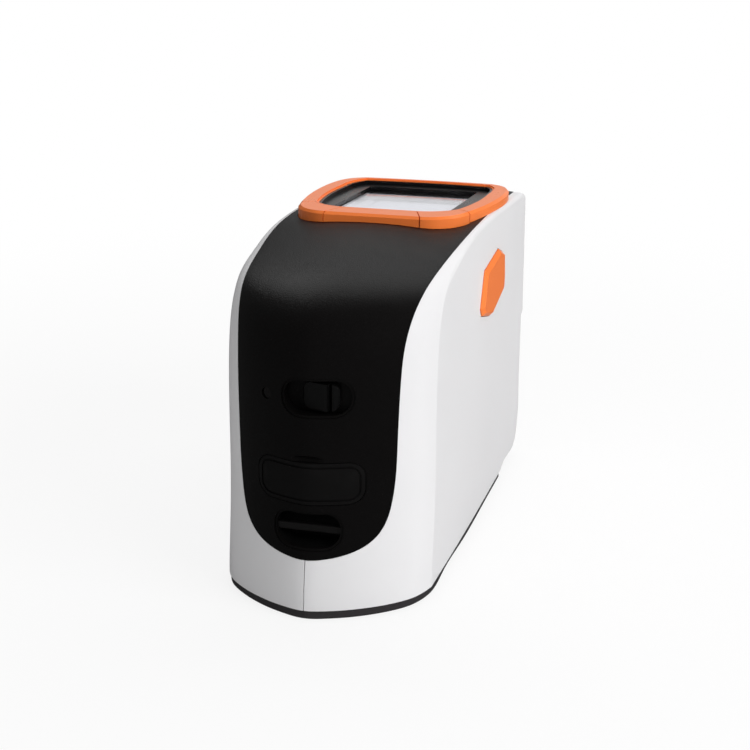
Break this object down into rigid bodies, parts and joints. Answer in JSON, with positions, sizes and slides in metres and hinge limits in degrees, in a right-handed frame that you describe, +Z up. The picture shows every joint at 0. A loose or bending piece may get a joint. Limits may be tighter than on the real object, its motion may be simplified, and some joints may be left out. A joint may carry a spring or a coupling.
{
  "type": "portable spectrophotometer",
  "caption": "Hand-held spectrophotometer with a split white shell, a black front cover, an orange display ring with keys, side measuring buttons and a port flap.",
  "frame": {"origin": "centre of the underside of the instrument, on the surface it stands on", "axes": "+Y from the front nose with its switch and port flap towards the tail, +Z up towards the display, +X across from the left side to the right side as seen from the front nose"},
  "size_m": [0.073, 0.1818, 0.1119],
  "materials": {
    "base_black": "fine spark texture",
    "shell_white": "satin moulded",
    "cover_black": "satin moulded, fine grain",
    "ring_orange": "satin moulded",
    "rubber_black": "matt",
    "clear_window": "polished",
    "screen": "pale, unlit",
    "foam_grey": "closed cell foam",
    "board_green": "solder mask",
    "frame_grey": "moulded",
    "alu": "machined",
    "steel": "bright zinc",
    "sphere_white": "diffuse white",
    "optics_black": "black anodised",
    "battery_wrap": "shrink wrap",
    "socket_black": "moulded",
    "lens_smoke": "smoked, polished"
  },
  "bodies": {
    "body": {"base_plate": "base_black", "left_casing": "shell_white", "right_casing": "shell_white", "front_cover": "cover_black", "rear_panel": "cover_black", "foot_pads": "rubber_black", "sphere_lower": "sphere_white", "sphere_upper": "sphere_white", "sphere_window": "clear_window", "lamp_holder": "alu", "viewing_tube": "optics_black", "spectrometer_box": "optics_black", "spectrometer_lid": "alu", "chassis": "frame_grey", "main_board": "board_green", "left_switch_board": "board_green", "right_switch_board": "board_green", "battery_pack": "battery_wrap", "battery_cradle": "frame_grey", "display_ring": "ring_orange", "display_bezel": "cover_black", "display_window": "clear_window", "display_panel": "screen", "bumper_foam": "foam_grey", "display_bracket": "steel", "key_board": "board_green", "flat_cable": "socket_black", "slide_switch_board": "board_green", "status_lens": "lens_smoke", "connector_board": "board_green", "power_jack": "socket_black", "data_socket": "steel", "reset_switch": "socket_black", "strap_cup": "cover_black", "strap_bar": "steel", "base_screws": "steel", "bracket_screws": "steel"},
    "key_left": {"key_left": "ring_orange"},
    "key_centre": {"key_centre": "ring_orange"},
    "key_right": {"key_right": "ring_orange"},
    "left_button": {"left_button": "ring_orange"},
    "right_button": {"right_button": "ring_orange"},
    "power_switch": {"power_switch": "cover_black"},
    "port_flap": {"port_flap": "rubber_black"},
    "reset_push": {"reset_push": "socket_black"},
    "aperture_ring": {"aperture_ring": "base_black"}
  },
  "joints": [
    {"name": "press_key_left", "type": "slide", "parent": "body", "child": "key_left", "axis": [0, -0.0597, -0.9982], "range_m": [0, 0.0006], "stiffness_N_per_m": 900},
    {"name": "press_key_centre", "type": "slide", "parent": "body", "child": "key_centre", "axis": [0, -0.0597, -0.9982], "range_m": [0, 0.0006], "stiffness_N_per_m": 900},
    {"name": "press_key_right", "type": "slide", "parent": "body", "child": "key_right", "axis": [0, -0.0597, -0.9982], "range_m": [0, 0.0006], "stiffness_N_per_m": 900},
    {"name": "press_left_button", "type": "slide", "parent": "body", "child": "left_button", "axis": [1, 0, 0], "range_m": [0, 0.001], "stiffness_N_per_m": 900},
    {"name": "press_right_button", "type": "slide", "parent": "body", "child": "right_button", "axis": [-1, 0, 0], "range_m": [0, 0.001], "stiffness_N_per_m": 900},
    {"name": "slide_power_switch", "type": "slide", "parent": "body", "child": "power_switch", "axis": [1, 0, 0], "range_m": [-0.004, 0]},
    {"name": "open_port_flap", "type": "hinge", "parent": "body", "child": "port_flap", "pos_m": [0, -0.087, 0.0369], "axis": [1, 0, 0], "range_deg": [0, 115]},
    {"name": "press_reset", "type": "slide", "parent": "body", "child": "reset_push", "axis": [0, 1, 0], "range_m": [0, 0.0005], "stiffness_N_per_m": 600},
    {"name": "turn_aperture_ring", "type": "hinge", "parent": "body", "child": "aperture_ring", "pos_m": [0, 0.012, 0], "axis": [0, 0, 1], "range_deg": [0, 30]}
  ]
}
